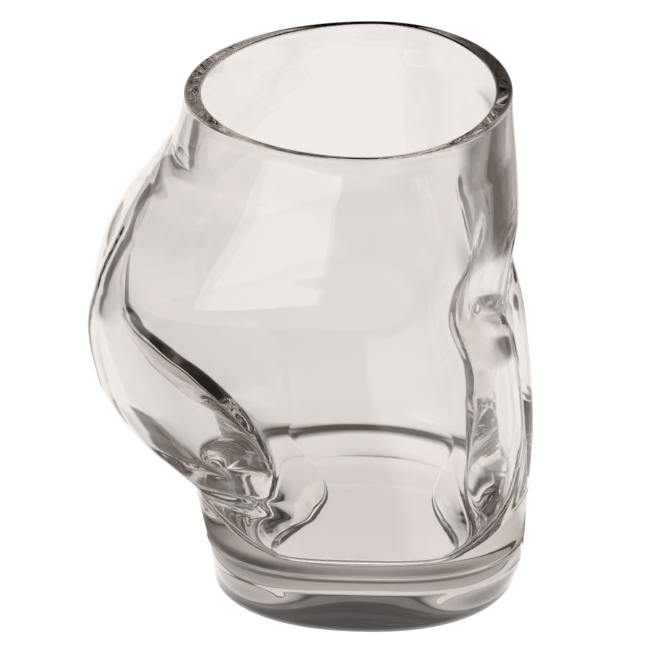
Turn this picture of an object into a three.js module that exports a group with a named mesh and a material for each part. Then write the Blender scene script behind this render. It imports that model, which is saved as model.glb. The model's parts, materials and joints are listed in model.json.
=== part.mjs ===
// A clear drinking glass moulded as a torso, from the waist down to the thighs, on a thick foot.
// Millimetres, +Z up. The origin is the middle of the flat underside of the foot.
// The seat points to -X, the belly to +X, and the left and right halves mirror in the XZ plane.

import * as THREE from "three";

// Lengths along the height, from the table up
const FOOT_BAND = 10; // plain round band at the foot
const THIGH_LENGTH = 19; // from the band up to the fold under the seat
const SEAT_RISE = 32; // from the fold up to the fullest point of the seat
const BACK_LENGTH = 38; // from there up to the waist
const COLLAR_LENGTH = 11; // from the waist up to the rim
const CROTCH_RISE = 29; // from the fold up to the crotch
const BELLY_RISE = 24; // from the crotch up to the fullest point of the belly

// Reaches of the outside from the upright axis: to the rear, to the front and to each side
const FOOT_REAR = 32.6;
const FOOT_FRONT = 30.4;
const FOOT_SIDE = 31.5;
const BAND_REAR = 33.6;
const BAND_FRONT = 33;
const BAND_SIDE = 33.9;
const FOLD_REAR = 37.6;
const THIGH_FRONT = 34.2;
const THIGH_SIDE = 41;
const SEAT_REAR = 59.8;
const GROIN_FRONT = 30;
const HIP_SIDE = 48;
const BELLY_FRONT = 31;
const WAIST_REAR = 41;
const WAIST_SIDE = 40.6;
const RIM_REAR = 38.7;
const RIM_FRONT = 29.6;
const RIM_SIDE = 37.8;

// Grooves that part the two halves: the cleft at the rear, the gap between the thighs in front
const CLEFT_CREST = 17; // from the mirror plane to the crest of each buttock
const CLEFT_LOW = 24.2; // reach of the cleft's bottom between the backs of the thighs
const CLEFT_MID = 39; // the same where the buttocks meet the thighs
const CLEFT_FULL = 54.8; // the same at the fullest point of the seat
const GAP_CREST = 16; // from the mirror plane to the crest of each thigh
const GAP_LOW = 25.8; // reach of the gap's bottom between the thighs
const GAP_HIGH = 23.2; // the same at the crotch
const GROOVE_SOFTNESS = 0.15; // rounding at the bottom of a groove

// Ridges that the grooves raise inside, which spread into broad toes on the inner floor
const RIDGE_WIDTH = 17; // half width, well above the floor
const TOE_WIDTH = 34; // half width at the floor
const REAR_TOE = 11.2; // how much further the rear ridge stands in at the floor
const FRONT_TOE = 7.4;
const TOE_STEP = 1; // height of the small step at the toes' edge
const TOE_RISE = 7; // height over which the toes rise from that step into the ridges
const TOE_HOLLOW = 6; // power of that rise, which starts almost level

// Crease of the groin, a soft valley that runs from the crotch up and out to each hip
const CREASE_DEPTH = 1.5;
const CREASE_WIDTH = 2;
const CREASE_SLOPE = 0.53;
const CREASE_SPAN = 33;

// Glass thickness
const BASE_THICKNESS = 18.5; // from the table to the inner floor
const END_WALL = 3.6; // wall at the front and the rear
const SIDE_WALL = 2.6; // wall at the sides
const END_FILLET = 1.1; // rounding from the inner floor up to the front and rear walls
const SIDE_FILLET = 1.8; // the same at the sides
const FOOT_EDGE = 2; // rounding of the foot's lower edge
const RIM_DEPTH = 5; // height of the fire-polished ring
const RIM_EDGE = 0.8; // rounding of its two upper edges

// Fineness of the facets
const COLUMNS = 56; // around, a multiple of four
const COLUMN_CROWDING = 0.5; // how much closer the columns stand at the grooves
const FOOT_ROWS = 5;
const WALL_ROWS = 26;
const FILLET_ROWS = 4;
const ARC_ROWS = 3;
const ROW_CROWDING = 1.7; // how much closer the wall's rows stand near the floor
const SLOPE_STEP = 0.5; // height over which the slope of the wall is measured

// Landmarks along the height
const FLOOR = BASE_THICKNESS;
const BAND = FOOT_BAND;
const FOLD = BAND + THIGH_LENGTH;
const SEAT = FOLD + SEAT_RISE;
const WAIST = SEAT + BACK_LENGTH;
const RIM = WAIST + COLLAR_LENGTH;
const RIM_BASE = RIM - RIM_DEPTH;
const CROTCH = FOLD + CROTCH_RISE;
const BELLY = CROTCH + BELLY_RISE;

/** The value that lies the given share of the way from one value to another. */
const between = (from, to, share) => from + (to - from) * share;

/** A smooth curve of a size against the height, through [height, size] points, with no overshoot. */
function profile(points) {
  const heights = points.map((point) => point[0]);
  const sizes = points.map((point) => point[1]);
  const last = points.length - 1;
  const slopes = heights.slice(1).map((height, i) => (sizes[i + 1] - sizes[i]) / (height - heights[i]));
  const tangents = heights.map((_, i) => {
    if (i === 0 || i === last || slopes[i - 1] * slopes[i] <= 0) return 0;
    return (2 * slopes[i - 1] * slopes[i]) / (slopes[i - 1] + slopes[i]);
  });
  return (height) => {
    if (height <= heights[0]) return sizes[0];
    if (height >= heights[last]) return sizes[last];
    const i = heights.findIndex((above) => above > height) - 1;
    const run = heights[i + 1] - heights[i];
    const t = (height - heights[i]) / run;
    const rise = t * t * (3 - 2 * t);
    const lean = run * t * (1 - t) * ((1 - t) * tangents[i] - t * tangents[i + 1]);
    return between(sizes[i], sizes[i + 1], rise) + lean;
  };
}

// Outlines of the outside, each a size at a few heights
const rearReach = profile([
  [0, FOOT_REAR],
  [BAND, BAND_REAR],
  [between(BAND, FOLD, 0.8), between(BAND_REAR, FOLD_REAR, 0.68)],
  [FOLD, FOLD_REAR],
  [between(FOLD, SEAT, 0.16), between(FOLD_REAR, SEAT_REAR, 0.26)],
  [between(FOLD, SEAT, 0.38), between(FOLD_REAR, SEAT_REAR, 0.64)],
  [between(FOLD, SEAT, 0.66), between(FOLD_REAR, SEAT_REAR, 0.9)],
  [SEAT, SEAT_REAR],
  [between(SEAT, WAIST, 0.24), between(WAIST_REAR, SEAT_REAR, 0.91)],
  [between(SEAT, WAIST, 0.53), between(WAIST_REAR, SEAT_REAR, 0.63)],
  [between(SEAT, WAIST, 0.79), between(WAIST_REAR, SEAT_REAR, 0.25)],
  [WAIST, WAIST_REAR],
  [RIM, RIM_REAR],
]);
const frontReach = profile([
  [0, FOOT_FRONT],
  [BAND, BAND_FRONT],
  [FOLD, THIGH_FRONT],
  [between(FOLD, CROTCH, 0.4), between(GROIN_FRONT, THIGH_FRONT, 0.9)],
  [between(FOLD, CROTCH, 0.9), between(GROIN_FRONT, THIGH_FRONT, 0.62)],
  [between(CROTCH, BELLY, 0.5), GROIN_FRONT],
  [BELLY, BELLY_FRONT],
  [RIM, RIM_FRONT],
]);
const sideReach = profile([
  [0, FOOT_SIDE],
  [BAND, BAND_SIDE],
  [between(BAND, FOLD, 0.5), between(BAND_SIDE, THIGH_SIDE, 0.66)],
  [FOLD, THIGH_SIDE],
  [SEAT, HIP_SIDE],
  [between(SEAT, WAIST, 0.3), between(WAIST_SIDE, HIP_SIDE, 0.9)],
  [between(SEAT, WAIST, 0.63), between(WAIST_SIDE, HIP_SIDE, 0.52)],
  [WAIST, WAIST_SIDE],
  [RIM, RIM_SIDE],
]);
const squareness = profile([
  [0, 2.2],
  [BAND, 2.7],
  [between(BAND, FOLD, 0.8), 2.9],
  [SEAT, 2.3],
  [WAIST, 2.3],
  [RIM, 2],
]);
const rearValley = profile([
  [between(0, BAND, 0.7), between(FOOT_REAR, BAND_REAR, 0.7)],
  [between(BAND, FOLD, 0.3), between(CLEFT_LOW, BAND_REAR, 0.3)],
  [between(BAND, FOLD, 0.62), CLEFT_LOW],
  [between(BAND, FOLD, 0.9), between(CLEFT_LOW, CLEFT_MID, 0.1)],
  [between(FOLD, SEAT, 0.13), between(CLEFT_LOW, CLEFT_MID, 0.33)],
  [between(FOLD, SEAT, 0.3), between(CLEFT_LOW, CLEFT_MID, 0.65)],
  [between(FOLD, SEAT, 0.45), CLEFT_MID],
  [between(FOLD, SEAT, 0.61), between(CLEFT_MID, CLEFT_FULL, 0.4)],
  [between(FOLD, SEAT, 0.81), between(CLEFT_MID, CLEFT_FULL, 0.82)],
  [SEAT, CLEFT_FULL],
  [between(SEAT, WAIST, 0.24), between(WAIST_REAR, CLEFT_FULL, 0.96)],
  [between(SEAT, WAIST, 0.53), between(WAIST_REAR, CLEFT_FULL, 0.76)],
  [between(SEAT, WAIST, 0.79), between(WAIST_REAR, CLEFT_FULL, 0.35)],
  [WAIST, WAIST_REAR],
  [RIM, RIM_REAR],
]);
const frontValley = profile([
  [between(0, BAND, 0.7), between(FOOT_FRONT, BAND_FRONT, 0.7)],
  [between(BAND, FOLD, 0.3), between(GAP_LOW, BAND_FRONT, 0.28)],
  [between(BAND, FOLD, 0.66), GAP_LOW],
  [between(FOLD, CROTCH, 0.66), between(GAP_HIGH, GAP_LOW, 0.8)],
  [CROTCH, GAP_HIGH],
  [between(CROTCH, BELLY, 0.25), between(GAP_HIGH, BELLY_FRONT, 0.16)],
  [between(CROTCH, BELLY, 0.5), between(GAP_HIGH, BELLY_FRONT, 0.46)],
  [between(CROTCH, BELLY, 0.75), between(GAP_HIGH, BELLY_FRONT, 0.78)],
  [BELLY, BELLY_FRONT],
  [RIM, RIM_FRONT],
]);

/** An outline moved in by a wall that is measured square to its slope. */
const thinned = (outline, wall) => (height) => {
  const slope = (outline(height + SLOPE_STEP) - outline(height - SLOPE_STEP)) / (2 * SLOPE_STEP);
  return outline(height) - wall * Math.hypot(1, slope);
};

const OUTSIDE = { rear: rearReach, front: frontReach, side: sideReach };
const INSIDE = {
  rear: thinned(rearReach, END_WALL),
  front: thinned(frontReach, END_WALL),
  side: thinned(sideReach, SIDE_WALL),
};

// Shape of the ridges inside
const ridgeWidth = profile([
  [FLOOR, TOE_WIDTH],
  [FOLD, between(RIDGE_WIDTH, TOE_WIDTH, 0.4)],
  [between(FOLD, SEAT, 0.4), RIDGE_WIDTH],
]);
const ridgePower = profile([
  [FLOOR, 1],
  [FOLD, 1.6],
  [between(FOLD, SEAT, 0.4), 2.8],
]);

/** How far a ridge's middle line stands in from the plain inside, as a function of the height. */
function ridgePush(crest, valley, toe) {
  const line = thinned(valley, END_WALL);
  const start = between(BAND, FOLD, 0.75);
  return (height) => {
    const share = Math.min(1, Math.max(0, (height - FLOOR - TOE_STEP) / TOE_RISE));
    return crest(height) - line(Math.max(height, start)) + toe * (1 - share) ** TOE_HOLLOW;
  };
}
const rearPush = ridgePush(INSIDE.rear, rearValley, REAR_TOE);
const frontPush = ridgePush(INSIDE.front, frontValley, FRONT_TOE);

/** Reach of a skin without its grooves, at a height and a turn from +X: a rounded square. */
function plainReach(skin, height, turn) {
  const forward = Math.cos(turn);
  const power = squareness(height);
  const along = Math.abs(forward) / (forward > 0 ? skin.front(height) : skin.rear(height));
  const across = Math.abs(Math.sin(turn)) / skin.side(height);
  return (along ** power + across ** power) ** (-1 / power);
}

/** Share of a groove's full depth at an angle from its middle line, none past its crest. */
function groove(angle, crestAngle) {
  const turn = (Math.PI / 2) * (angle / crestAngle);
  const softened = Math.min(Math.PI / 2, Math.hypot(turn, GROOVE_SOFTNESS));
  return (1 - Math.sin(softened)) / (1 - Math.sin(GROOVE_SOFTNESS));
}

/** Depth of the groin's crease where the outside reaches so far forward and sideways. */
function creaseDepth(height, forward, out) {
  const above = height - CROTCH - CREASE_SLOPE * out;
  const fade = Math.sqrt(Math.max(0, 1 - out / CREASE_SPAN));
  const facing = Math.min(1, Math.max(0, forward * 4));
  const apart = Math.min(1, out / GAP_CREST);
  return CREASE_DEPTH * fade * facing * apart * Math.exp(-((above / CREASE_WIDTH) ** 2));
}

/** Amount by which a rounding of the given radius draws a surface in, at a distance from its edge. */
function roundedInset(radius, distance) {
  const short = Math.max(0, radius - distance);
  return radius - Math.sqrt(radius * radius - short * short);
}

/** Reach of the outside, with both grooves, the crease and the rounded edge of the foot. */
function outerReach(height, turn) {
  const forward = Math.cos(turn);
  const sideways = Math.abs(Math.sin(turn));
  const fromFront = Math.atan2(sideways, forward);
  const rear = rearReach(height);
  const front = frontReach(height);
  const cleftDepth = Math.max(0, rear - rearValley(height));
  const gapDepth = Math.max(0, front - frontValley(height));
  const cleft = groove(Math.PI - fromFront, Math.atan2(CLEFT_CREST, rear)) * cleftDepth;
  const gap = groove(fromFront, Math.atan2(GAP_CREST, front)) * gapDepth;
  const parted = plainReach(OUTSIDE, height, turn) - cleft - gap;
  const crease = creaseDepth(height, forward, parted * sideways);
  return parted - crease - roundedInset(FOOT_EDGE, height);
}

/** The point at a reach, a turn and a height, exactly on the middle planes where it lies on them. */
function place(reach, turn, height) {
  const snap = (value) => (Math.abs(value) < 1e-9 ? 0 : value);
  return [reach * snap(Math.cos(turn)), reach * snap(Math.sin(turn)), height];
}

/** A point of the outside. */
const outerPoint = (height, turn) => place(outerReach(height, turn), turn, height);

/** A point of the inside, drawn in by an inset and pushed in along X by the ridges. */
function insidePoint(height, turn, inset = 0) {
  const [x, y, z] = place(plainReach(INSIDE, height, turn) - inset, turn, height);
  const share = Math.abs(y) / ridgeWidth(height);
  if (share >= 1) return [x, y, z];
  const ridge = Math.cos((Math.PI / 2) * share) ** ridgePower(height);
  return [x + ridge * (x > 0 ? -frontPush(height) : rearPush(height)), y, z];
}

/** A size that goes from its value at the sides to its value at the front and the rear. */
const aroundTurn = (side, end, turn) => between(side, end, Math.cos(turn) ** 2);

/** A point of the fillet between the inner floor and the wall, from 0 on the floor to 1 on the wall. */
function filletPoint(share, turn) {
  const radius = aroundTurn(SIDE_FILLET, END_FILLET, turn);
  const angle = (Math.PI / 2) * share;
  return insidePoint(FLOOR + radius * (1 - Math.cos(angle)), turn, radius * (1 - Math.sin(angle)));
}

/** A height on the wall, by rows that crowd towards the floor. */
const wallHeight = (start, share) => between(start, RIM_BASE, share ** ROW_CROWDING);

/** A point of the inside of the wall, by rows: the fillet first, then up to the rim's base. */
function innerPoint(row, turn) {
  if (row <= FILLET_ROWS) return filletPoint(row / FILLET_ROWS, turn);
  const start = FLOOR + aroundTurn(SIDE_FILLET, END_FILLET, turn);
  return insidePoint(wallHeight(start, (row - FILLET_ROWS) / (WALL_ROWS - FILLET_ROWS)), turn);
}

/** Turns of the columns from one turn to another, crowded towards the grooves. */
function columnTurns(from, to) {
  const count = Math.round((COLUMNS * (to - from)) / (2 * Math.PI));
  return Array.from({ length: count + 1 }, (_, i) => {
    const even = between(from, to, i / count);
    return even - (COLUMN_CROWDING / 2) * Math.sin(2 * even);
  });
}

/** Whole numbers from zero up to and including the last one. */
const counted = (last) => Array.from({ length: last + 1 }, (_, i) => i);

/** A closed geometry from points and triangles. */
function solid(points, triangles) {
  const geometry = new THREE.BufferGeometry();
  geometry.setAttribute("position", new THREE.Float32BufferAttribute(points.flat(), 3));
  geometry.setIndex(triangles.flat());
  geometry.computeVertexNormals();
  return geometry;
}

/** Two triangles for a four-sided face whose corners run counter-clockwise seen from outside. */
const face = (a, b, c, d) => [[a, b, c], [a, c, d]];

/** A solid of stacked rings, closed at both ends by a middle point; rings run from below to above. */
function stackedSolid(rings, bottomMiddle, topMiddle) {
  const width = rings[0].length;
  const points = [...rings.flat(), bottomMiddle, topMiddle];
  const bottom = points.length - 2;
  const top = points.length - 1;
  const topRing = (rings.length - 1) * width;
  const triangles = [];
  for (let i = 0; i < width; i += 1) {
    const next = (i + 1) % width;
    triangles.push([bottom, next, i], [top, topRing + i, topRing + next]);
    for (let row = 0; row < rings.length - 1; row += 1) {
      const low = row * width;
      triangles.push(...face(low + i, low + next, low + width + next, low + width + i));
    }
  }
  return solid(points, triangles);
}

/** A full ring whose closed cross-sections, one for each column, run up outside and down inside. */
function ringSolid(sections) {
  const size = sections[0].length;
  const triangles = [];
  sections.forEach((_, column) => {
    const here = column * size;
    const there = ((column + 1) % sections.length) * size;
    for (let i = 0; i < size; i += 1) {
      const next = (i + 1) % size;
      triangles.push(...face(here + i, there + i, there + next, here + next));
    }
  });
  return solid(sections.flat(), triangles);
}

/** A part of a ring: as many points up the outside as up the inside, with flat ends. */
function arcSolid(columns) {
  const rows = columns[0].outside.length;
  const size = 2 * rows;
  const points = columns.flatMap((column) => [...column.outside, ...column.inside.toReversed()]);
  const triangles = [];
  for (let column = 0; column < columns.length - 1; column += 1) {
    const here = column * size;
    const there = here + size;
    for (let i = 0; i < size; i += 1) {
      const next = (i + 1) % size;
      triangles.push(...face(here + i, there + i, there + next, here + next));
    }
  }
  const end = (columns.length - 1) * size;
  for (let row = 0; row < rows - 1; row += 1) {
    const inner = size - 1 - row;
    triangles.push(...face(row, row + 1, inner - 1, inner));
    triangles.push(...face(end + row, end + inner, end + inner - 1, end + row + 1));
  }
  return solid(points, triangles);
}

/** The solid base, from the table up to the inner floor. */
function footGeometry() {
  const turns = columnTurns(0, 2 * Math.PI).slice(0, -1);
  const edge = counted(ARC_ROWS).map((i) => FOOT_EDGE * (1 - Math.cos((Math.PI / 2) * (i / ARC_ROWS))));
  const straight = counted(FOOT_ROWS).slice(1).map((i) => between(FOOT_EDGE, FLOOR, i / FOOT_ROWS));
  const rings = [...edge, ...straight].map((height) => turns.map((turn) => outerPoint(height, turn)));
  return stackedSolid(rings, [0, 0, 0], [0, 0, FLOOR]);
}

/** The hollow wall between two turns, from the inner floor up to the rim's base. */
function wallGeometry(from, to) {
  const columns = columnTurns(from, to).map((turn) => ({
    outside: counted(WALL_ROWS).map((row) => outerPoint(wallHeight(FLOOR, row / WALL_ROWS), turn)),
    inside: counted(WALL_ROWS).map((row) => innerPoint(row, turn)),
  }));
  return arcSolid(columns);
}

/** The drinking rim, a ring with a flat top and two rounded edges. */
function rimGeometry() {
  const arc = counted(ARC_ROWS).map((i) => (Math.PI / 2) * (i / ARC_ROWS));
  const heightOn = (angle) => RIM - RIM_EDGE * (1 - Math.sin(angle));
  const insetOn = (angle) => RIM_EDGE * (1 - Math.cos(angle));
  const sections = columnTurns(0, 2 * Math.PI).slice(0, -1).map((turn) => {
    const outer = (angle) => place(outerReach(heightOn(angle), turn) - insetOn(angle), turn, heightOn(angle));
    const inner = (angle) => insidePoint(heightOn(angle), turn, -insetOn(angle));
    const foot = [outerPoint(RIM_BASE, turn), ...arc.map(outer)];
    return [...foot, ...arc.toReversed().map(inner), insidePoint(RIM_BASE, turn)];
  });
  return ringSolid(sections);
}

/** A named piece of clear, colourless glass. */
function glassPiece(name, geometry) {
  const material = new THREE.MeshStandardMaterial({
    name: "clear_glass",
    color: 0xe9e7e4,
    roughness: 0.03,
    metalness: 0,
    transparent: true,
    opacity: 0.35,
  });
  const piece = new THREE.Mesh(geometry, material);
  piece.name = name;
  return piece;
}

const glass = new THREE.Group();
glass.add(
  glassPiece("foot", footGeometry()),
  glassPiece("rear_wall", wallGeometry(Math.PI / 2, (3 * Math.PI) / 2)),
  glassPiece("front_wall", wallGeometry(-Math.PI / 2, Math.PI / 2)),
  glassPiece("rim", rimGeometry()),
);

export default glass;
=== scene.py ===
"""Studio picture of a clear drinking glass moulded as a torso from the waist to the thighs."""
import json
import logging
import math
from dataclasses import dataclass
from enum import Enum
from typing import Callable, Sequence

import bpy
import numpy as np
from mathutils import Matrix, Vector

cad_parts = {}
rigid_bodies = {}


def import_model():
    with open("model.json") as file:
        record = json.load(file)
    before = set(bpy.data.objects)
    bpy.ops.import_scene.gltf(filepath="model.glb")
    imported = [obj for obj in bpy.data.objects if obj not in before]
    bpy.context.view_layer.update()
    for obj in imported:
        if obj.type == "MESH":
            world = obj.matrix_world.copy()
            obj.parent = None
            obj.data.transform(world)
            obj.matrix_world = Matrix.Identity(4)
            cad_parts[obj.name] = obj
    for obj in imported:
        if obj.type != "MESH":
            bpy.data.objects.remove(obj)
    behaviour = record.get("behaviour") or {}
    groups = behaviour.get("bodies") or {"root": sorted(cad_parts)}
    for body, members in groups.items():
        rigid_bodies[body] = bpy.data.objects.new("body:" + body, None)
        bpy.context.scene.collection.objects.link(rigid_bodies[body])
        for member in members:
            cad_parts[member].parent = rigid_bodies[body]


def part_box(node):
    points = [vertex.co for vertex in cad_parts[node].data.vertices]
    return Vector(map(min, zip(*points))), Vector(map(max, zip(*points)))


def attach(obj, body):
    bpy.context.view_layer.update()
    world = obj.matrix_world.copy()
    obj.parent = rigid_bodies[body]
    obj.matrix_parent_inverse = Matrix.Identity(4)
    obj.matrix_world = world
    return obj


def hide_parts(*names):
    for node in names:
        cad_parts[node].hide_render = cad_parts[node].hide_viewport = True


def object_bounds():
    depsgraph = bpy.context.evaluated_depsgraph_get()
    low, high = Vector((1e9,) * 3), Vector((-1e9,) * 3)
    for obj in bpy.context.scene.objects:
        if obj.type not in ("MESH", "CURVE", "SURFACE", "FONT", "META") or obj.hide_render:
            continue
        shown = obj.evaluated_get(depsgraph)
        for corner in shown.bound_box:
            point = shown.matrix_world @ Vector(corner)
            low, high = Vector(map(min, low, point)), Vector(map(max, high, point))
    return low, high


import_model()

LOG = logging.getLogger("torso_glass")
MM = 0.001
CAD_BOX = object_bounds()
WHITE = (1.0, 1.0, 1.0)

Colour = tuple[float, float, float]
Point = tuple[float, float, float]
Paint = Colour | bpy.types.NodeSocket
Curve = Callable[[np.ndarray], np.ndarray]
Sizes = np.ndarray | float


class Skin(Enum):
    """The two skins of the glass wall."""

    OUTSIDE = 0
    INSIDE = 1


def between(start: float, end: float, share: float) -> float:
    """Return the value that lies a share of the way from start to end.

    Args:
        start: Value at share 0.
        end: Value at share 1.
        share: The share, which may also be an array.

    Returns:
        The value at that share.
    """
    return start + (end - start) * share


def smooth_curve(points: Sequence[tuple[float, float]]) -> Curve:
    """Make a smooth curve of a size against the height, with no overshoot.

    Args:
        points: Pairs of height and size, from the lowest up.

    Returns:
        A function from an array of heights to an array of sizes.
    """
    heights, sizes = np.array(points).T
    runs = np.diff(heights)
    slopes = np.diff(sizes) / runs
    tangents = np.zeros_like(sizes)
    product = slopes[:-1] * slopes[1:]
    steady = product > 0
    tangents[1:-1][steady] = 2 * product[steady] / (slopes[:-1] + slopes[1:])[steady]

    def size_at(height: np.ndarray) -> np.ndarray:
        """Return the curve's size at each height, level past either end."""
        held = np.clip(height, heights[0], heights[-1])
        i = np.clip(np.searchsorted(heights, held, side="right") - 1, 0, len(runs) - 1)
        t = (held - heights[i]) / runs[i]
        rise = t * t * (3 - 2 * t)
        lean = runs[i] * t * (1 - t) * ((1 - t) * tangents[i] - t * tangents[i + 1])
        return sizes[i] + (sizes[i + 1] - sizes[i]) * rise + lean

    return size_at


def direction(azimuth: float, elevation: float) -> Vector:
    """Return the direction from the glass at two angles.

    Args:
        azimuth: Angle round the glass, 0 being towards -Y.
        elevation: Angle above the table.

    Returns:
        A vector of length 1.
    """
    level = math.cos(elevation)
    return Vector((math.sin(azimuth) * level, -math.cos(azimuth) * level, math.sin(elevation)))


@dataclass(frozen=True)
class TorsoForm:
    """Sizes of the sculpted form, in metres, and the outlines that follow from them."""

    band: float = 10 * MM
    fold: float = 29 * MM
    crotch: float = 58 * MM
    seat: float = 61 * MM
    belly: float = 82 * MM
    waist: float = 99 * MM
    rim: float = CAD_BOX[1][2]
    foot_rear: float = 32.6 * MM
    foot_front: float = 30.4 * MM
    foot_side: float = 31.5 * MM
    band_rear: float = 33.6 * MM
    band_front: float = 33 * MM
    band_side: float = 33.9 * MM
    fold_rear: float = 37.6 * MM
    thigh_front: float = 34.2 * MM
    thigh_side: float = 41 * MM
    seat_rear: float = 59.8 * MM
    groin_front: float = 30 * MM
    hip_side: float = 48 * MM
    belly_front: float = 31 * MM
    waist_rear: float = 41 * MM
    waist_side: float = 40.6 * MM
    rim_rear: float = 38.7 * MM
    rim_front: float = 29.6 * MM
    rim_side: float = 37.8 * MM
    cleft_low: float = 24.2 * MM
    cleft_mid: float = 39 * MM
    cleft_full: float = 54.8 * MM
    gap_low: float = 25.8 * MM
    gap_high: float = 23.2 * MM
    end_wall: float = 3.6 * MM
    side_wall: float = 2.6 * MM
    floor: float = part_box("foot")[1][2]
    rear_toe: float = 11.2 * MM
    front_toe: float = 7.4 * MM
    toe_width: float = 34 * MM
    toe_hollow: float = 6.0
    toe_step: float = 1 * MM
    toe_rise: float = 7 * MM
    ridge_width: float = 17 * MM
    slope_step: float = 0.5 * MM

    def rear_reach(self) -> Curve:
        """Return the outline of the rear crests."""
        low, full, high = self.fold_rear, self.seat_rear, self.waist_rear
        return smooth_curve([
            (0.0, self.foot_rear),
            (self.band, self.band_rear),
            (between(self.band, self.fold, 0.8), between(self.band_rear, low, 0.68)),
            (self.fold, low),
            (between(self.fold, self.seat, 0.16), between(low, full, 0.26)),
            (between(self.fold, self.seat, 0.38), between(low, full, 0.64)),
            (between(self.fold, self.seat, 0.66), between(low, full, 0.9)),
            (self.seat, full),
            (between(self.seat, self.waist, 0.24), between(high, full, 0.91)),
            (between(self.seat, self.waist, 0.53), between(high, full, 0.63)),
            (between(self.seat, self.waist, 0.79), between(high, full, 0.25)),
            (self.waist, high),
            (self.rim, self.rim_rear),
        ])

    def front_reach(self) -> Curve:
        """Return the outline of the front crests."""
        groin, thigh = self.groin_front, self.thigh_front
        return smooth_curve([
            (0.0, self.foot_front),
            (self.band, self.band_front),
            (self.fold, thigh),
            (between(self.fold, self.crotch, 0.4), between(groin, thigh, 0.9)),
            (between(self.fold, self.crotch, 0.9), between(groin, thigh, 0.62)),
            (between(self.crotch, self.belly, 0.5), groin),
            (self.belly, self.belly_front),
            (self.rim, self.rim_front),
        ])

    def side_reach(self) -> Curve:
        """Return the outline of the sides."""
        return smooth_curve([
            (0.0, self.foot_side),
            (self.band, self.band_side),
            (between(self.band, self.fold, 0.5), between(self.band_side, self.thigh_side, 0.66)),
            (self.fold, self.thigh_side),
            (self.seat, self.hip_side),
            (between(self.seat, self.waist, 0.3), between(self.waist_side, self.hip_side, 0.9)),
            (between(self.seat, self.waist, 0.63), between(self.waist_side, self.hip_side, 0.52)),
            (self.waist, self.waist_side),
            (self.rim, self.rim_side),
        ])

    def squareness(self) -> Curve:
        """Return the power of the section's rounded-square rule, 2 being an ellipse."""
        return smooth_curve([
            (0.0, 2.2),
            (self.band, 2.7),
            (between(self.band, self.fold, 0.8), 2.9),
            (self.seat, 2.3),
            (self.waist, 2.3),
            (self.rim, 2.0),
        ])

    def rear_valley(self) -> Curve:
        """Return the outline of the groove's bottom at the rear."""
        low, mid, full = self.cleft_low, self.cleft_mid, self.cleft_full
        high = self.waist_rear
        return smooth_curve([
            (0.7 * self.band, between(self.foot_rear, self.band_rear, 0.7)),
            (between(self.band, self.fold, 0.3), between(low, self.band_rear, 0.3)),
            (between(self.band, self.fold, 0.62), low),
            (between(self.fold, self.seat, -0.06), between(low, mid, 0.1)),
            (between(self.fold, self.seat, 0.13), between(low, mid, 0.33)),
            (between(self.fold, self.seat, 0.3), between(low, mid, 0.65)),
            (between(self.fold, self.seat, 0.45), mid),
            (between(self.fold, self.seat, 0.61), between(mid, full, 0.4)),
            (between(self.fold, self.seat, 0.81), between(mid, full, 0.82)),
            (self.seat, full),
            (between(self.seat, self.waist, 0.24), between(high, full, 0.96)),
            (between(self.seat, self.waist, 0.53), between(high, full, 0.76)),
            (between(self.seat, self.waist, 0.79), between(high, full, 0.35)),
            (self.waist, high),
            (self.rim, self.rim_rear),
        ])

    def front_valley(self) -> Curve:
        """Return the outline of the groove's bottom in front."""
        low, high = self.gap_low, self.belly_front
        return smooth_curve([
            (0.7 * self.band, between(self.foot_front, self.band_front, 0.7)),
            (between(self.band, self.fold, 0.3), between(low, self.band_front, 0.28)),
            (between(self.band, self.fold, 0.66), low),
            (between(self.fold, self.crotch, 0.66), between(self.gap_high, low, 0.8)),
            (self.crotch, self.gap_high),
            (between(self.crotch, self.belly, 0.25), between(self.gap_high, high, 0.16)),
            (between(self.crotch, self.belly, 0.5), between(self.gap_high, high, 0.46)),
            (between(self.crotch, self.belly, 0.75), between(self.gap_high, high, 0.78)),
            (self.belly, high),
            (self.rim, self.rim_front),
        ])

    def inner_push(self, crest: Curve, valley: Curve, toe: float) -> Curve:
        """Return how far a ridge inside the glass stands in from the plain wall.

        Args:
            crest: Inner outline of the crests.
            valley: Inner outline of the ridge's middle line.
            toe: How much further the ridge stands in where it meets the inner floor.

        Returns:
            A curve of the push against the height.
        """
        def size_at(height: np.ndarray) -> np.ndarray:
            """Return the push at each height."""
            share = np.clip((height - self.floor - self.toe_step) / self.toe_rise, 0.0, 1.0)
            lowest = between(self.band, self.fold, 0.75)
            line = valley(np.maximum(height, lowest)) - toe * (1 - share) ** self.toe_hollow
            return crest(height) - line

        return size_at

    def ridge_crest(self) -> Curve:
        """Return the half width of the ridges inside, which broaden into toes at the floor."""
        return smooth_curve([
            (self.floor, self.toe_width),
            (self.fold, between(self.ridge_width, self.toe_width, 0.4)),
            (between(self.fold, self.seat, 0.4), self.ridge_width),
        ])

    def ridge_power(self) -> Curve:
        """Return the power of the ridges' cosine, 1 being the broadest."""
        return smooth_curve([
            (self.floor, 1.0),
            (self.fold, 1.6),
            (between(self.fold, self.seat, 0.4), 2.8),
        ])

    def thinned(self, outline: Curve, wall: float) -> Curve:
        """Return an outline moved in by a wall that is measured square to its slope.

        Args:
            outline: The outer outline.
            wall: Thickness of the wall.

        Returns:
            The inner outline.
        """
        step = self.slope_step

        def size_at(height: np.ndarray) -> np.ndarray:
            """Return the inner outline's size at each height."""
            slope = (outline(height + step) - outline(height - step)) / (2 * step)
            return outline(height) - wall * np.hypot(1.0, slope)

        return size_at

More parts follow.
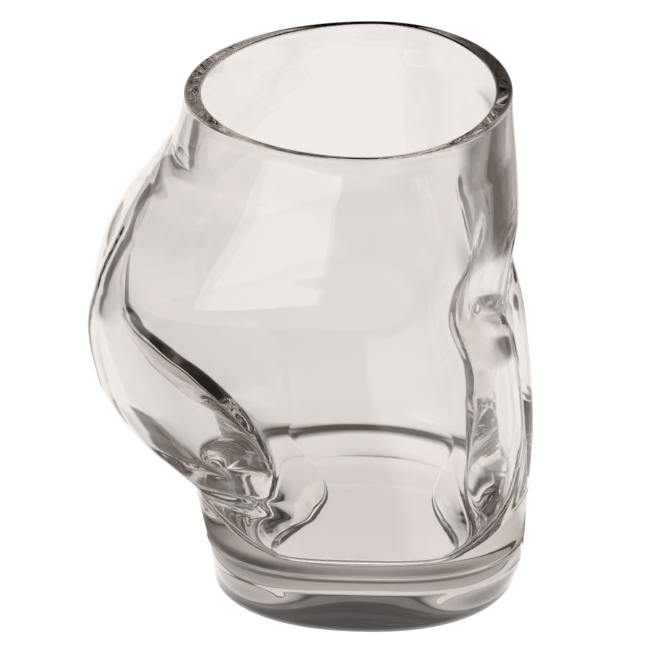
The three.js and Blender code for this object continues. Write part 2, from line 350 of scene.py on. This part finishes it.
    def outlines(self, skin: Skin) -> dict[str, Curve]:
        """Return the named outlines of one skin.

        Args:
            skin: The outside, or the inside, which lies a wall's thickness within it.

        Returns:
            Curves of the rear, front and side reach, of the two grooves' bottoms and of the
            push of the two ridges.
        """
        rear, front, side = self.rear_reach(), self.front_reach(), self.side_reach()
        found = {
            "rear": rear,
            "front": front,
            "side": side,
            "rear_valley": self.rear_valley(),
            "front_valley": self.front_valley(),
        }
        if skin is Skin.INSIDE:
            for name, outline in found.items():
                wall = self.side_wall if name == "side" else self.end_wall
                found[name] = self.thinned(outline, wall)
            found["rear_push"] = self.inner_push(found["rear"], found["rear_valley"], self.rear_toe)
            found["front_push"] = self.inner_push(found["front"], found["front_valley"], self.front_toe)
            found["rear_valley"], found["front_valley"] = found["rear"], found["front"]
        else:
            found["rear_push"] = found["front_push"] = np.zeros_like
        return found


class Field:
    """A number that varies over a mesh or a surface, worked out by nodes."""

    def __init__(self, tree: bpy.types.NodeTree, socket: bpy.types.NodeSocket) -> None:
        """Hold the socket that gives the number.

        Args:
            tree: The node tree.
            socket: The output in it.
        """
        self.tree = tree
        self.socket = socket

    def math(self, operation: str, *others: "Field | float") -> "Field":
        """Return the result of a Math node on this number and the others.

        Args:
            operation: Name of the node's operation.
            others: Its second and third numbers, where it has them.

        Returns:
            The node's result.
        """
        node = self.tree.nodes.new("ShaderNodeMath")
        node.operation = operation
        for slot, value in zip(node.inputs, (self, *others)):
            if isinstance(value, Field):
                self.tree.links.new(value.socket, slot)
            else:
                slot.default_value = value
        return Field(self.tree, node.outputs[0])

    def __add__(self, other: "Field | float") -> "Field":
        """Return the sum."""
        return self.math("ADD", other)

    def __sub__(self, other: "Field | float") -> "Field":
        """Return the difference."""
        return self.math("SUBTRACT", other)

    def __mul__(self, other: "Field | float") -> "Field":
        """Return the product."""
        return self.math("MULTIPLY", other)

    def __truediv__(self, other: "Field | float") -> "Field":
        """Return the quotient."""
        return self.math("DIVIDE", other)

    def __pow__(self, other: "Field | float") -> "Field":
        """Return the power."""
        return self.math("POWER", other)

    def __rsub__(self, other: float) -> "Field":
        """Return a plain number less this one."""
        return self.math("MULTIPLY_ADD", -1.0, other)

    def mixed(self, end: "Field", share: "Field") -> "Field":
        """Return the number a share of the way from this one to the end."""
        return self + (end - self) * share

    def ramp(
        self, start: float, end: float, first: float = 0.0, last: float = 1.0, smooth: bool = True
    ) -> "Field":
        """Return a step from one level to another while this number crosses a range.

        Args:
            start: This number where the step starts.
            end: This number where it ends, which may be the lower one.
            first: Level at the start.
            last: Level at the end.
            smooth: Whether the step eases in and out, or is straight.

        Returns:
            The level, held past either end.
        """
        node = self.tree.nodes.new("ShaderNodeMapRange")
        node.interpolation_type = "SMOOTHSTEP" if smooth else "LINEAR"
        limits = {"From Min": start, "From Max": end, "To Min": first, "To Max": last}
        for name, limit in limits.items():
            node.inputs[name].default_value = limit
        self.tree.links.new(self.socket, node.inputs["Value"])
        return Field(self.tree, node.outputs["Result"])


class SectionRule:
    """Geometry Nodes tree that sets a tube's points by the torso's section rule."""

    SIZES = {
        "Cleft Crest": 17 * MM,
        "Gap Crest": 16 * MM,
        "Groove Softness": 0.15,
        "Crease Height": TorsoForm.crotch,
        "Crease Depth": 1.5 * MM,
        "Crease Width": 2 * MM,
        "Crease Slope": 0.53,
        "Crease Span": 33 * MM,
        "Crease Facing": 4.0,
        "Seam Height": 14.6 * MM,
        "Seam Width": 0.45 * MM,
        "Seam Rise": 0.2 * MM,
    }
    READ = (
        "turn", "height", "rear", "front", "side", "rear_valley", "front_valley", "power",
        "inset", "spread", "rear_push", "front_push", "ridge", "ridge_power", "outer",
    )
    MERGE_DISTANCE = 0.001 * MM

    def __init__(self) -> None:
        """Build the tree with its named inputs."""
        self.tree = bpy.data.node_groups.new("torso_section", "GeometryNodeTree")
        face = self.tree.interface
        face.new_socket("Geometry", in_out="INPUT", socket_type="NodeSocketGeometry")
        self.sockets = {}
        for name, size in self.SIZES.items():
            socket = face.new_socket(name, in_out="INPUT", socket_type="NodeSocketFloat")
            socket.default_value = size
            self.sockets[name] = socket.identifier
        finish = face.new_socket("Finish", in_out="INPUT", socket_type="NodeSocketMaterial")
        self.sockets["Finish"] = finish.identifier
        face.new_socket("Geometry", in_out="OUTPUT", socket_type="NodeSocketGeometry")
        self.entry = self.tree.nodes.new("NodeGroupInput")
        self.build()

    def size(self, name: str) -> Field:
        """Return a named input of the tree."""
        return Field(self.tree, self.entry.outputs[name])

    def read(self, name: str) -> Field:
        """Return an attribute of the tube."""
        node = self.tree.nodes.new("GeometryNodeInputNamedAttribute")
        node.data_type = "FLOAT"
        node.inputs["Name"].default_value = name
        return Field(self.tree, node.outputs["Attribute"])

    def groove(self, angle: Field, crest: Field) -> Field:
        """Return the share of a groove's depth at an angle from its middle line.

        Args:
            angle: Angle from the groove's middle line.
            crest: Angle at which the groove has risen to its crest.

        Returns:
            One at the middle line, falling to nothing at the crest.
        """
        quarter = math.pi / 2
        softness = self.size("Groove Softness")
        turn = (angle / crest) * quarter
        softened = (turn * turn + softness * softness).math("SQRT").math("MINIMUM", quarter)
        return (1.0 - softened.math("SINE")) / (1.0 - softness.math("SINE"))

    def reach(self, value: dict[str, Field]) -> Field:
        """Return the reach of the skin from the axis.

        Args:
            value: The tube's attributes by name.

        Returns:
            The reach, with both grooves and the crease of the groin.
        """
        forward = value["turn"].math("COSINE")
        sideways = value["turn"].math("SINE").math("ABSOLUTE")
        ahead = forward.math("GREATER_THAN", 0.0)
        end = value["rear"].mixed(value["front"], ahead)
        power = value["power"]
        along = (forward.math("ABSOLUTE") / end) ** power
        across = (sideways / value["side"]) ** power
        plain = (along + across) ** (power ** -1.0 * -1.0)

        from_front = sideways.math("ARCTAN2", forward)
        cleft_crest = self.size("Cleft Crest").math("ARCTAN2", value["rear"])
        gap_crest = self.size("Gap Crest").math("ARCTAN2", value["front"])
        cleft = self.groove(math.pi - from_front, cleft_crest)
        gap = self.groove(from_front, gap_crest)
        cleft_depth = (value["rear"] - value["rear_valley"]).math("MAXIMUM", 0.0)
        gap_depth = (value["front"] - value["front_valley"]).math("MAXIMUM", 0.0)
        parted = plain - cleft * cleft_depth - gap * gap_depth

        out = parted * sideways
        above = value["height"] - self.size("Crease Height") - self.size("Crease Slope") * out
        bell = ((above / self.size("Crease Width")) ** 2.0 * -1.0).math("EXPONENT")
        fade = (1.0 - out / self.size("Crease Span")).math("MAXIMUM", 0.0).math("SQRT")
        facing = (forward * self.size("Crease Facing")).math("MINIMUM", 1.0).math("MAXIMUM", 0.0)
        apart = (out / self.size("Gap Crest")).math("MINIMUM", 1.0)
        return parted - self.size("Crease Depth") * bell * fade * facing * apart * value["outer"]

    def seam(self, value: dict[str, Field]) -> Field:
        """Return the rise of the mould's seam round the outside of the foot."""
        away = (value["height"] - self.size("Seam Height")) / self.size("Seam Width")
        return (away * away * -1.0).math("EXPONENT") * self.size("Seam Rise") * value["outer"]

    def ridge(self, value: dict[str, Field], forward: Field, across: Field) -> Field:
        """Return how far a ridge inside the glass moves a point along X.

        Args:
            value: The tube's attributes by name.
            forward: Cosine of the point's turn.
            across: The point's place along Y.

        Returns:
            The push, towards the middle from either end.
        """
        ahead = forward.math("GREATER_THAN", 0.0)
        push = value["rear_push"].mixed(value["front_push"] * -1.0, ahead)
        share = (across.math("ABSOLUTE") / value["ridge"]).math("MINIMUM", 1.0)
        return push * (share * (math.pi / 2)).math("COSINE").math("MAXIMUM", 0.0) ** value["ridge_power"]

    def build(self) -> None:
        """Link the rule to the tube's points and give the result its finish."""
        nodes, links = self.tree.nodes, self.tree.links
        value = {name: self.read(name) for name in self.READ}
        reach = self.reach(value) - value["inset"] + self.seam(value)
        forward = value["turn"].math("COSINE")
        across = reach * value["turn"].math("SINE")
        along = reach * forward + self.ridge(value, forward, across)
        place = nodes.new("ShaderNodeCombineXYZ")
        links.new((along * value["spread"]).socket, place.inputs["X"])
        links.new((across * value["spread"]).socket, place.inputs["Y"])
        links.new(value["height"].socket, place.inputs["Z"])

        moved = nodes.new("GeometryNodeSetPosition")
        links.new(self.entry.outputs["Geometry"], moved.inputs["Geometry"])
        links.new(place.outputs["Vector"], moved.inputs["Position"])
        merged = nodes.new("GeometryNodeMergeByDistance")
        merged.inputs["Distance"].default_value = self.MERGE_DISTANCE
        smooth = nodes.new("GeometryNodeSetShadeSmooth")
        realized = nodes.new("GeometryNodeRealizeInstances")
        dressed = nodes.new("GeometryNodeSetMaterial")
        links.new(self.entry.outputs["Finish"], dressed.inputs["Material"])
        leave = nodes.new("NodeGroupOutput")
        chain = (moved, merged, smooth, realized, dressed, leave)
        for before, after in zip(chain, chain[1:]):
            links.new(before.outputs["Geometry"], after.inputs["Geometry"])


class ShaderNodes:
    """Nodes of one material or world, with the place of the shaded point at hand."""

    def __init__(self, tree: bpy.types.NodeTree, coordinates: str) -> None:
        """Add the nodes that give the place.

        Args:
            tree: The tree to add to.
            coordinates: Name of the Texture Coordinate node's output.
        """
        self.tree = tree
        self.place = self.add("ShaderNodeTexCoord").outputs[coordinates]
        parts = self.add("ShaderNodeSeparateXYZ")
        self.link(self.place, parts.inputs["Vector"])
        self.axes = {axis: Field(tree, parts.outputs[axis]) for axis in "XYZ"}

    def add(self, kind: str) -> bpy.types.Node:
        """Return a new node of a kind."""
        return self.tree.nodes.new(kind)

    def link(self, source: bpy.types.NodeSocket, target: bpy.types.NodeSocket) -> None:
        """Link an output to an input."""
        self.tree.links.new(source, target)

    def away(self) -> Field:
        """Return the distance from the origin."""
        node = self.add("ShaderNodeVectorMath")
        node.operation = "LENGTH"
        self.link(self.place, node.inputs[0])
        return Field(self.tree, node.outputs["Value"])

    def noise(self, scale: float) -> Field:
        """Return noise of a scale."""
        node = self.add("ShaderNodeTexNoise")
        node.inputs["Scale"].default_value = scale
        self.link(self.place, node.inputs["Vector"])
        return Field(self.tree, node.outputs["Fac"])

    def camera_ray(self) -> Field:
        """Return 1 where the camera looks straight at the point, else 0."""
        return Field(self.tree, self.add("ShaderNodeLightPath").outputs["Is Camera Ray"])

    def mix(self, first: Paint, second: Paint, share: Field, held: bool = True) -> bpy.types.NodeSocket:
        """Return a colour between two others.

        Args:
            first: Colour at share 0, or the socket that gives it.
            second: Colour at share 1, or the socket that gives it.
            share: Where the colour lies between them.
            held: Whether the share is held between 0 and 1.

        Returns:
            The socket that gives the colour.
        """
        node = self.add("ShaderNodeMix")
        node.data_type = "RGBA"
        node.clamp_factor = held
        for name, colour in (("A", first), ("B", second)):
            if isinstance(colour, tuple):
                node.inputs[name].default_value = (*colour, 1.0)
            else:
                self.link(colour, node.inputs[name])
        self.link(share.socket, node.inputs["Factor"])
        return node.outputs["Result"]


@dataclass(frozen=True)
class ClearGlass:
    """Finish of the glass: colourless, polished, faintly rippled and worn where it stands."""

    name: str = "clear_glass"
    tint: Colour = (0.93, 0.915, 0.905)
    refraction: float = 1.5
    absorbed: Colour = (0.86, 0.84, 0.825)
    density: float = 30.0
    wear_start: float = 27 * MM
    wear_end: float = 29 * MM
    wear_height: float = 0.25 * MM
    wear_roughness: float = 0.22
    wear_grain: float = 900.0
    ripple_size: float = 80.0
    ripple_strength: float = 0.3
    ripple_depth: float = 0.25 * MM
    foot_start: float = 12 * MM
    foot_end: float = 17 * MM
    wall_ripple: float = 0.1

    def material(self) -> bpy.types.Material:
        """Return the finish as a node material."""
        made = bpy.data.materials.new(self.name)
        made.use_nodes = True
        nodes = ShaderNodes(made.node_tree, "Object")
        shader = made.node_tree.nodes["Principled BSDF"]
        shader.inputs["Base Color"].default_value = (*self.tint, 1.0)
        shader.inputs["IOR"].default_value = self.refraction
        shader.inputs["Transmission Weight"].default_value = 1.0
        nodes.link(self.roughness(nodes).socket, shader.inputs["Roughness"])
        nodes.link(self.ripple(nodes), shader.inputs["Normal"])
        volume = nodes.add("ShaderNodeVolumeAbsorption")
        volume.inputs["Color"].default_value = (*self.absorbed, 1.0)
        volume.inputs["Density"].default_value = self.density
        nodes.link(volume.outputs["Volume"], made.node_tree.nodes["Material Output"].inputs["Volume"])
        return made

    def roughness(self, nodes: ShaderNodes) -> Field:
        """Return the roughness: a scuffed ring where the foot bears, polished elsewhere."""
        low = nodes.axes["Z"].ramp(self.wear_height, 0.0, 0.0, self.wear_roughness, smooth=False)
        ring = nodes.away().ramp(self.wear_start, self.wear_end, smooth=False)
        return low * ring * nodes.noise(self.wear_grain)

    def ripple(self, nodes: ShaderNodes) -> bpy.types.NodeSocket:
        """Return the normal with the faint ripple that the mould leaves, stronger on the foot."""
        share = nodes.axes["Z"].ramp(self.foot_end, self.foot_start, self.wall_ripple)
        bump = nodes.add("ShaderNodeBump")
        bump.inputs["Strength"].default_value = self.ripple_strength
        bump.inputs["Distance"].default_value = self.ripple_depth
        nodes.link((nodes.noise(self.ripple_size) * share).socket, bump.inputs["Height"])
        return bump.outputs["Normal"]


@dataclass
class TorsoGlass:
    """The glass as one unbroken skin: underside, outside, rim, inside and inner floor."""

    form: TorsoForm
    finish: ClearGlass
    foot_edge: float = 2 * MM
    rim_edge: float = 0.8 * MM
    end_fillet: float = 1.1 * MM
    side_fillet: float = 1.8 * MM
    floor_angle: float = math.radians(10.0)
    columns: int = 224
    crowding: float = 0.5
    outside_rows: int = 240
    inside_rows: int = 110
    row_crowding: float = 2.0
    fillet_rows: int = 24
    arc_rows: int = 6
    disc_rows: int = 8

    def turns(self) -> np.ndarray:
        """Return the turn of each column, crowded towards the grooves."""
        even = np.arange(self.columns) * (2 * math.pi / self.columns)
        return even - self.crowding / 2 * np.sin(2 * even)

    def rows(self) -> list[dict[str, Sizes | Skin]]:
        """Return the rows of the tube, from the middle of the underside to that of the floor."""
        turns = self.turns()
        rim = self.form.rim
        ends = np.cos(turns) ** 2
        fillet = between(self.side_fillet, self.end_fillet, ends)
        fillet_rise = fillet * math.cos(self.floor_angle)
        quarter = np.linspace(0, math.pi / 2, self.arc_rows + 1)
        found = []

        def add(skin: Skin, height: Sizes, inset: Sizes = 0.0, spread: float = 1.0) -> None:
            """Add a row of one skin.

            Args:
                skin: The skin.
                height: Height of the row, or of each of its points.
                inset: How far it lies within the skin's plain outline.
                spread: Share of the way from the axis out to that outline.
            """
            found.append({"skin": skin, "height": height, "inset": inset, "spread": spread})

        def rounding(radius: float, angle: float) -> tuple[float, float]:
            """Return the drop from a rounded edge's top and the inset from its side."""
            return radius * (1 - math.sin(angle)), radius * (1 - math.cos(angle))

        for i in range(self.disc_rows):
            add(Skin.OUTSIDE, 0.0, self.foot_edge, i / self.disc_rows)
        for angle in quarter:
            inset, rise = rounding(self.foot_edge, angle)
            add(Skin.OUTSIDE, rise, inset)
        for height in np.linspace(self.foot_edge, rim - self.rim_edge, self.outside_rows)[1:]:
            add(Skin.OUTSIDE, height)
        for angle in quarter[1:]:
            drop, inset = rounding(self.rim_edge, angle)
            add(Skin.OUTSIDE, rim - drop, inset)
        for angle in quarter[::-1]:
            drop, inset = rounding(self.rim_edge, angle)
            add(Skin.INSIDE, rim - drop, -inset)
        for share in np.linspace(1, 0, self.inside_rows)[1:] ** self.row_crowding:
            add(Skin.INSIDE, between(self.form.floor + fillet_rise, rim - self.rim_edge, share))
        for share in np.linspace(1, 0, self.fillet_rows)[1:]:
            angle = between(self.floor_angle, math.pi / 2, share)
            rise = fillet * (math.cos(self.floor_angle) - math.cos(angle))
            add(Skin.INSIDE, self.form.floor + rise, fillet * (1 - math.sin(angle)))
        for i in range(self.disc_rows - 1, -1, -1):
            add(Skin.INSIDE, self.form.floor, fillet * (1 - math.sin(self.floor_angle)), i / self.disc_rows)
        return found

    def tube(self) -> bpy.types.Object:
        """Return the plain tube that the section rule shapes, with its sizes as attributes."""
        turns = self.turns()
        rows = self.rows()
        outlines = {skin: self.form.outlines(skin) for skin in Skin}
        squareness = self.form.squareness()
        ridge_crest, ridge_power = self.form.ridge_crest(), self.form.ridge_power()
        held: dict[str, list[np.ndarray]] = {name: [] for name in SectionRule.READ}
        for row in rows:
            skin = row["skin"]
            height = row["height"] + np.zeros_like(turns)
            values = {
                "turn": turns,
                "height": height,
                "power": squareness(height),
                "inset": row["inset"] + np.zeros_like(turns),
                "spread": np.full_like(turns, row["spread"]),
                "ridge": ridge_crest(height),
                "ridge_power": ridge_power(height),
                "outer": np.full_like(turns, float(skin is Skin.OUTSIDE)),
            }
            values |= {name: outline(height) for name, outline in outlines[skin].items()}
            for name, numbers in values.items():
                held[name].append(numbers)

        count = self.columns
        points = np.zeros((len(rows) * count, 3))
        faces = []
        for row in range(len(rows) - 1):
            low, high = row * count, (row + 1) * count
            for i in range(count):
                after = (i + 1) % count
                faces.append((low + i, low + after, high + after, high + i))
        mesh = bpy.data.meshes.new("plain_tube")
        mesh.from_pydata(points.tolist(), [], faces)
        for name, numbers in held.items():
            attribute = mesh.attributes.new(name, "FLOAT", "POINT")
            attribute.data.foreach_set("value", np.concatenate(numbers).astype(np.float32))
        tube = bpy.data.objects.new("plain_tube", mesh)
        bpy.context.scene.collection.objects.link(tube)
        return tube

    def build(self) -> bpy.types.Object:
        """Return the finished glass, which stands for every zone of the CAD model."""
        tube = self.tube()
        rule = SectionRule()
        modifier = tube.modifiers.new("torso_section", "NODES")
        modifier.node_group = rule.tree
        for name, size in rule.SIZES.items():
            modifier[rule.sockets[name]] = size
        modifier[rule.sockets["Finish"]] = self.finish.material()
        ready = tube.evaluated_get(bpy.context.evaluated_depsgraph_get())
        mesh = bpy.data.meshes.new_from_object(ready)
        mesh.name = "glass_body"
        for name in SectionRule.READ:
            mesh.attributes.remove(mesh.attributes[name])
        tube.modifiers.remove(modifier)
        bpy.data.objects.remove(tube)
        glass = bpy.data.objects.new("glass_body", mesh)
        bpy.context.scene.collection.objects.link(glass)
        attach(glass, "root")
        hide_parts("foot", "rear_wall", "front_wall", "rim")
        LOG.info("glass_body: %d faces", len(mesh.polygons))
        return glass


@dataclass(frozen=True)
class PaintedShadePatch:
    """A dark patch of painted shade on the floor, which the camera doesn't show and the glass shows as dark
    lines.
    """

    left: float
    right: float
    near: float
    far: float
    blur: float


@dataclass(frozen=True)
class Softbox:
    """A soft lamp that reflections show and the camera doesn't."""

    name: str
    place: Vector
    width: float
    height: float
    power: float

    def hang(self, aim: Vector) -> bpy.types.Object:
        """Return the lamp, hung so that it faces a point.

        Args:
            aim: The point.

        Returns:
            The lamp, in the scene.
        """
        data = bpy.data.lights.new(self.name, "AREA")
        data.shape = "RECTANGLE"
        data.size, data.size_y = self.width, self.height
        data.energy = self.power
        lamp = bpy.data.objects.new(self.name, data)
        lamp.location = self.place
        lamp.rotation_euler = (aim - self.place).to_track_quat("-Z", "Y").to_euler()
        lamp.visible_camera = False
        bpy.context.scene.collection.objects.link(lamp)
        return lamp


@dataclass
class Studio:
    """White floor with painted shade and light that only the glass shows, dim room, soft lamps and the
    camera of the photograph.
    """

    azimuth: float = math.radians(3.0)
    elevation: float = math.radians(23.5)
    distance: float = 4.0
    sight: float = 100.0
    sensor_mm: float = 36.0
    view_width: float = 138.8 * MM
    aim_right: float = -7.83 * MM
    aim_height: float = 55.07 * MM
    floor_size: float = 8.0
    floor_drop: float = 0.05 * MM
    floor_colour: Colour = (0.93, 0.9, 0.885)
    floor_matt: Colour = (0.15, 0.15, 0.15)
    # Colour of the painted shade patches on the floor, and how far they darken it
    painted_shade_colour: Colour = (0.05, 0.03, 0.015)
    painted_shade_depth: float = 0.9
    wall_colour: Colour = (0.03, 0.026, 0.024)
    horizon_colour: Colour = (0.62, 0.58, 0.56)
    horizon_end: float = 0.32
    ceiling_colour: Colour = (0.2, 0.18, 0.17)
    ceiling_start: float = 0.55
    ceiling_end: float = 0.9
    lamp_aim: Point = (0.0, 0.0, 55 * MM)
    bounces: int = 32
    glossy_bounces: int = 24
    # Patches of painted shade on the floor, which only the glass shows, as dark lines
    PAINTED_SHADE_PATCHES = (
        PaintedShadePatch(0.06, 2.0, 0.145, 2.0, 0.03),
        PaintedShadePatch(-2.0, -0.23, 0.13, 2.0, 0.05),
        PaintedShadePatch(-2.0, 0.015, -2.0, -0.047, 0.015),
        PaintedShadePatch(-0.1, -0.046, -0.05, 0.02, 0.012),
        PaintedShadePatch(0.046, 0.1, -0.05, 0.02, 0.012),
    )
    # Painted brightness of the floor by the distance from the middle of the glass: painted light under and
    # just round the glass, a painted shadow ring round the foot and painted shade fading far off
    PAINTED_LIGHT_AND_SHADOW = ((0.0, 1.25), (0.041, 1.25), (0.043, 0.05), (0.049, 0.05), (0.052, 1.0), (0.5, 1.0), (0.8, 0.12))
    LAMPS = (
        Softbox("key_softbox", direction(math.radians(-36.0), math.radians(24.0)) * 1.5, 1.35, 0.75, 4.5),
        Softbox("fill_softbox", Vector((1.0, -0.8, 0.7)), 0.3, 0.6, 0.6),
    )

    def camera(self) -> bpy.types.Object:
        """Return the camera at the photograph's viewing angle."""
        right = Vector((math.cos(self.azimuth), math.sin(self.azimuth), 0.0))
        back = direction(self.azimuth, self.elevation)
        up = back.cross(right)
        data = bpy.data.cameras.new("photo_camera")
        data.sensor_width = self.sensor_mm
        data.lens = self.sensor_mm * self.distance / self.view_width
        data.clip_end = self.sight
        camera = bpy.data.objects.new("photo_camera", data)
        aim = right * self.aim_right + Vector((0.0, 0.0, self.aim_height))
        turn = Matrix((right, up, back)).transposed().to_4x4()
        camera.matrix_world = Matrix.Translation(aim + back * self.distance) @ turn
        bpy.context.scene.collection.objects.link(camera)
        bpy.context.scene.camera = camera
        return camera

    def painted_shade_cover(self, nodes: ShaderNodes) -> Field:
        """Return how far the painted shade patches cover each point of the floor, from 0 to 1."""
        across, along = nodes.axes["X"], nodes.axes["Y"]
        cover = None
        for shade_patch in self.PAINTED_SHADE_PATCHES:
            half = shade_patch.blur / 2
            wide = across.ramp(shade_patch.left - half, shade_patch.left + half)
            wide *= across.ramp(shade_patch.right + half, shade_patch.right - half)
            deep = along.ramp(shade_patch.near - half, shade_patch.near + half)
            deep *= along.ramp(shade_patch.far + half, shade_patch.far - half)
            patch = wide * deep
            cover = patch if cover is None else cover.math("MAXIMUM", patch)
        return cover

    def painted_light_and_shadow_level(self, nodes: ShaderNodes) -> Field:
        """Return the floor's painted brightness: painted light under the glass, a painted shadow ring round
        the foot and painted shade far off.
        """
        ring = nodes.add("ShaderNodeValToRGB")
        elements = ring.color_ramp.elements
        while len(elements) < len(self.PAINTED_LIGHT_AND_SHADOW):
            elements.new(0.5)
        for element, (where, level) in zip(elements, self.PAINTED_LIGHT_AND_SHADOW):
            element.position = where
            element.color = (level, level, level, 1.0)
        nodes.link(nodes.away().socket, ring.inputs["Fac"])
        return Field(nodes.tree, ring.outputs["Color"])

    def floor_finish(self) -> bpy.types.Material:
        """Return the floor's finish: white to the camera; to the glass, toned by painted shade patches and
        by painted light and shadow round the foot.
        """
        made = bpy.data.materials.new("white_floor")
        made.use_nodes = True
        made.node_tree.nodes.clear()
        nodes = ShaderNodes(made.node_tree, "Object")
        # Painted shade and light: the patches and the ring darken or brighten what the glass sees of the
        # floor
        level = (1.0 - self.painted_shade_cover(nodes) * self.painted_shade_depth) * self.painted_light_and_shadow_level(nodes)
        toned = nodes.mix(self.painted_shade_colour, self.floor_colour, level, held=False)
        glow = nodes.add("ShaderNodeEmission")
        nodes.link(nodes.mix(toned, WHITE, nodes.camera_ray()), glow.inputs["Color"])
        matt = nodes.add("ShaderNodeBsdfDiffuse")
        matt.inputs["Color"].default_value = (*self.floor_matt, 1.0)
        both = nodes.add("ShaderNodeAddShader")
        nodes.link(glow.outputs["Emission"], both.inputs[0])
        nodes.link(matt.outputs["BSDF"], both.inputs[1])
        nodes.link(both.outputs["Shader"], nodes.add("ShaderNodeOutputMaterial").inputs["Surface"])
        return made

    def floor(self) -> bpy.types.Object:
        """Return the white floor, a little below the glass so that a film of air parts them."""
        half = self.floor_size / 2
        corners = [(-half, -half), (half, -half), (half, half), (-half, half)]
        mesh = bpy.data.meshes.new("floor")
        mesh.from_pydata([(x, y, -self.floor_drop) for x, y in corners], [], [(0, 1, 2, 3)])
        mesh.materials.append(self.floor_finish())
        floor = bpy.data.objects.new("floor", mesh)
        bpy.context.scene.collection.objects.link(floor)
        return floor

    def room(self) -> None:
        """Set the world: white to the camera, a dim room to everything else."""
        world = bpy.data.worlds.new("room")
        bpy.context.scene.world = world
        world.use_nodes = True
        nodes = ShaderNodes(world.node_tree, "Generated")
        height = nodes.axes["Z"]
        horizon = height.ramp(0.0, self.horizon_end, 1.0, 0.0)
        walls = nodes.mix(self.wall_colour, self.horizon_colour, horizon)
        overhead = height.ramp(self.ceiling_start, self.ceiling_end)
        dim = nodes.mix(walls, self.ceiling_colour, overhead)
        tone = nodes.mix(dim, WHITE, nodes.camera_ray())
        nodes.link(tone, world.node_tree.nodes["Background"].inputs["Color"])

    def build(self) -> None:
        """Make the whole studio."""
        self.camera()
        self.floor()
        self.room()
        for lamp in self.LAMPS:
            lamp.hang(Vector(self.lamp_aim))
        settings = bpy.context.scene
        settings.view_settings.view_transform = "Standard"
        settings.cycles.max_bounces = self.bounces
        settings.cycles.glossy_bounces = self.glossy_bounces
        settings.cycles.transmission_bounces = self.bounces


def main() -> None:
    """Build the glass and its studio; the glass's build logs its face count."""
    logging.basicConfig(level=logging.INFO)
    Studio().build()
    TorsoGlass(TorsoForm(), ClearGlass()).build()


if __name__ == "__main__":
    main()
